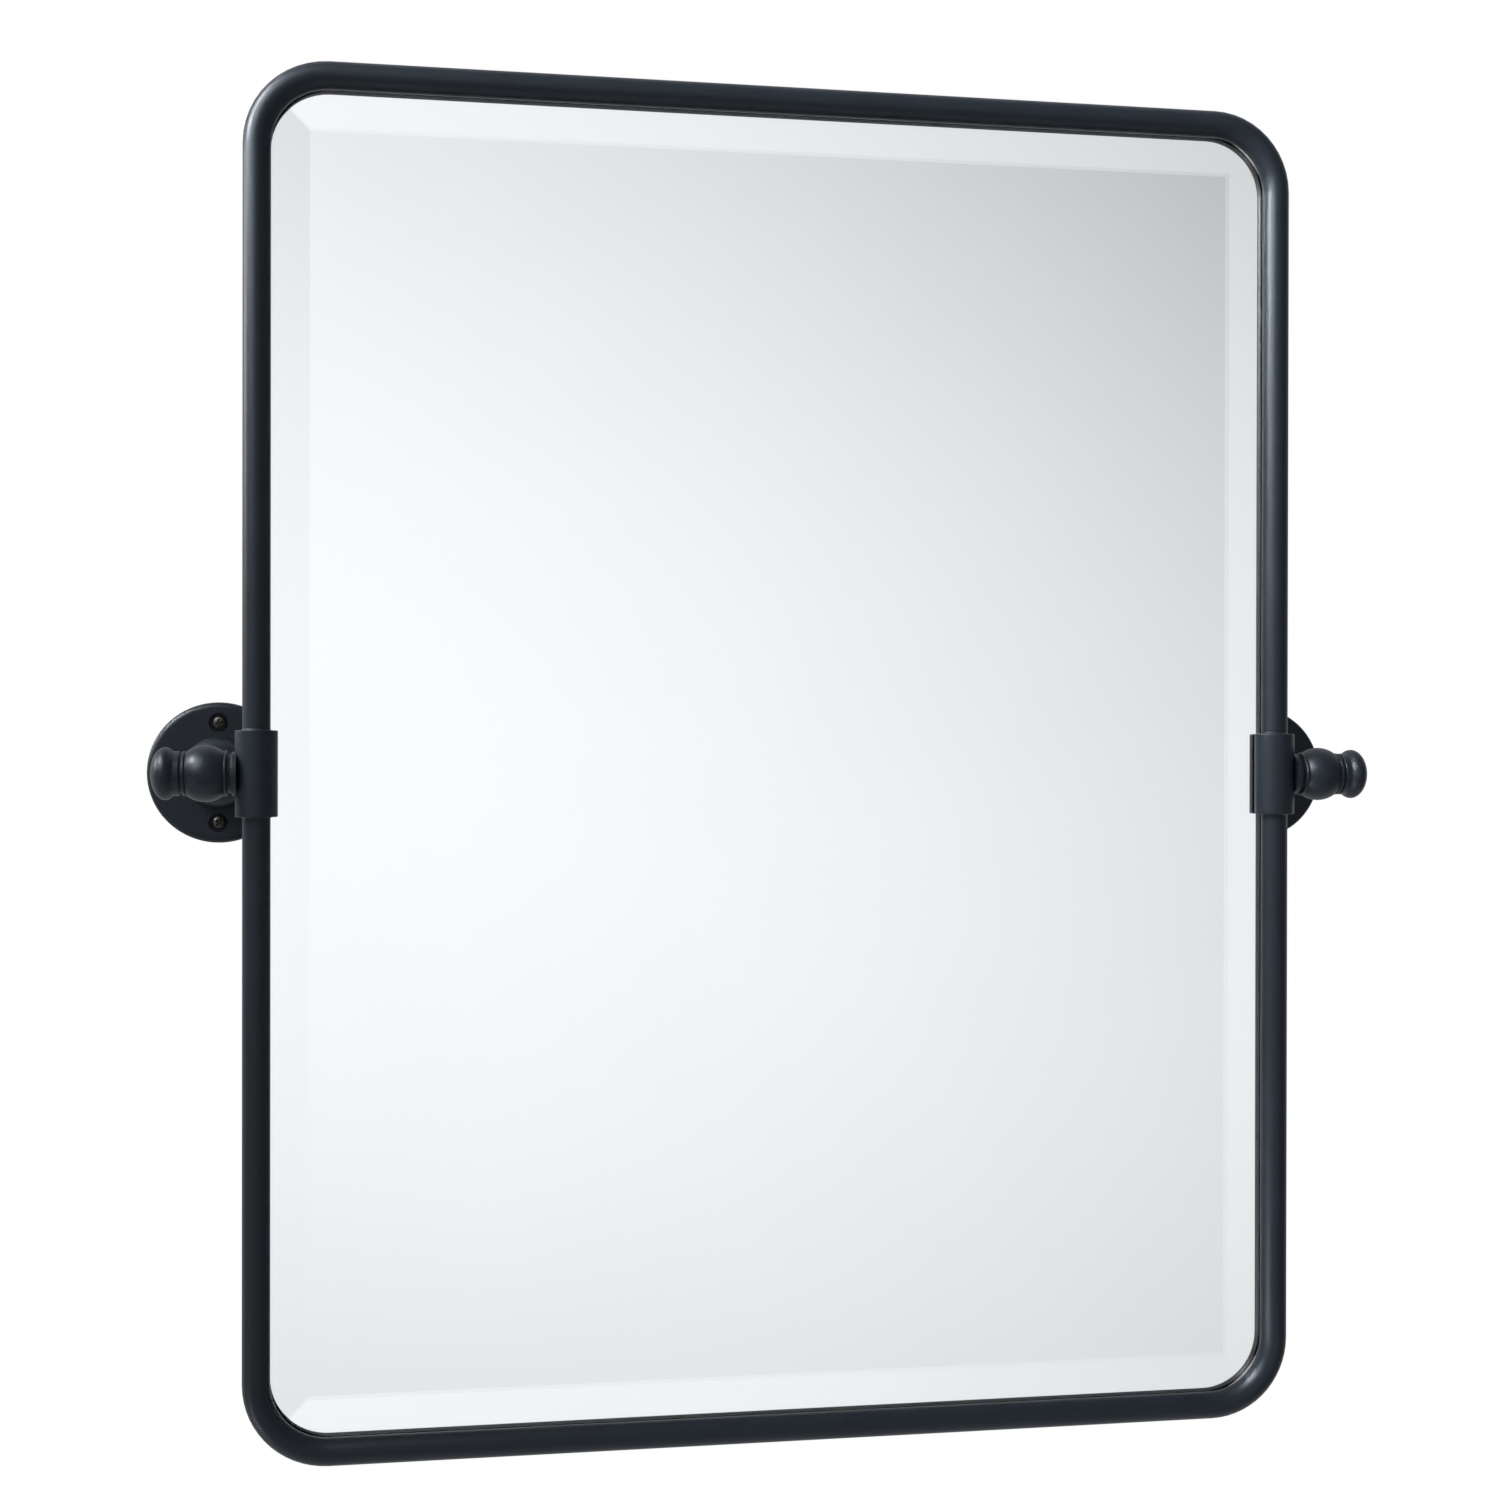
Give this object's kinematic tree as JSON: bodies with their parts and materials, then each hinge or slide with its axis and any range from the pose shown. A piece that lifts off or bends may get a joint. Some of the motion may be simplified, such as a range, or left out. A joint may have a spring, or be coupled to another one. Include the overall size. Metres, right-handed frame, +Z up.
{
  "type": "tilting wall mirror",
  "caption": "Bevelled mirror glass in a rounded-corner black tube frame that tilts between two wall brackets with ball posts, round plates and clamping knobs.",
  "frame": {"origin": "on the wall plane, level with the pivot axis and midway between the two brackets, at the centre of the four wall screws", "axes": "+Z up, +Y into the wall so the glass faces -Y, +X to the viewer's right along the pivot axis"},
  "size_m": [0.5738, 0.1109, 0.6096],
  "materials": {
    "black_coat": "satin blue-black powder coat with a very fine grain",
    "silvered_glass": "clear polished glass, silvered behind",
    "foam_tape": "closed-cell foam tape",
    "fibreboard": "dark sealed fibreboard",
    "zinc_steel": "zinc plated",
    "plain_steel": "plain turned steel",
    "dark_steel": "dark nickel-plated screws",
    "black_nylon": "black nylon"
  },
  "bodies": {
    "brackets": {"left_wall_plate": "black_coat", "left_post": "black_coat", "left_post_screw": "zinc_steel", "left_wall_screws": "dark_steel", "right_wall_plate": "black_coat", "right_post": "black_coat", "right_post_screw": "zinc_steel", "right_wall_screws": "dark_steel"},
    "mirror": {"upper_tube": "black_coat", "lower_tube": "black_coat", "edge_band": "black_coat", "mirror_glass": "silvered_glass", "mounting_tape": "foam_tape", "backing_board": "fibreboard", "retaining_tabs": "black_coat", "tab_screws": "zinc_steel", "left_joiner": "plain_steel", "left_sleeve": "black_coat", "left_collar": "black_coat", "left_shaft": "zinc_steel", "left_inner_washer": "black_nylon", "right_joiner": "plain_steel", "right_sleeve": "black_coat", "right_collar": "black_coat", "right_shaft": "zinc_steel", "right_inner_washer": "black_nylon"},
    "left_outer_washer": {"left_outer_washer": "black_nylon"},
    "left_knob": {"left_knob": "black_coat"},
    "right_outer_washer": {"right_outer_washer": "black_nylon"},
    "right_knob": {"right_knob": "black_coat"}
  },
  "joints": [
    {"name": "mirror_tilt", "type": "hinge", "parent": "brackets", "child": "mirror", "pos_m": [0, -0.07, 0], "axis": [1, 0, 0], "range_deg": [-10, 10]},
    {"name": "left_washer_slide", "type": "slide", "parent": "mirror", "child": "left_outer_washer", "axis": [-1, 0, 0], "range_m": [0, 0.001]},
    {"name": "left_knob_turn", "type": "hinge", "parent": "left_outer_washer", "child": "left_knob", "pos_m": [-0.2677, -0.07, 0], "axis": [-1, 0, 0], "range_deg": [0, 360]},
    {"name": "right_washer_slide", "type": "slide", "parent": "mirror", "child": "right_outer_washer", "axis": [1, 0, 0], "range_m": [0, 0.001]},
    {"name": "right_knob_turn", "type": "hinge", "parent": "right_outer_washer", "child": "right_knob", "pos_m": [0.2677, -0.07, 0], "axis": [1, 0, 0], "range_deg": [0, 360]}
  ],
  "couplings": [
    {"joint": "left_knob_turn", "follows": "left_washer_slide", "rad_per_m": 6283.2},
    {"joint": "right_knob_turn", "follows": "right_washer_slide", "rad_per_m": 6283.2}
  ]
}
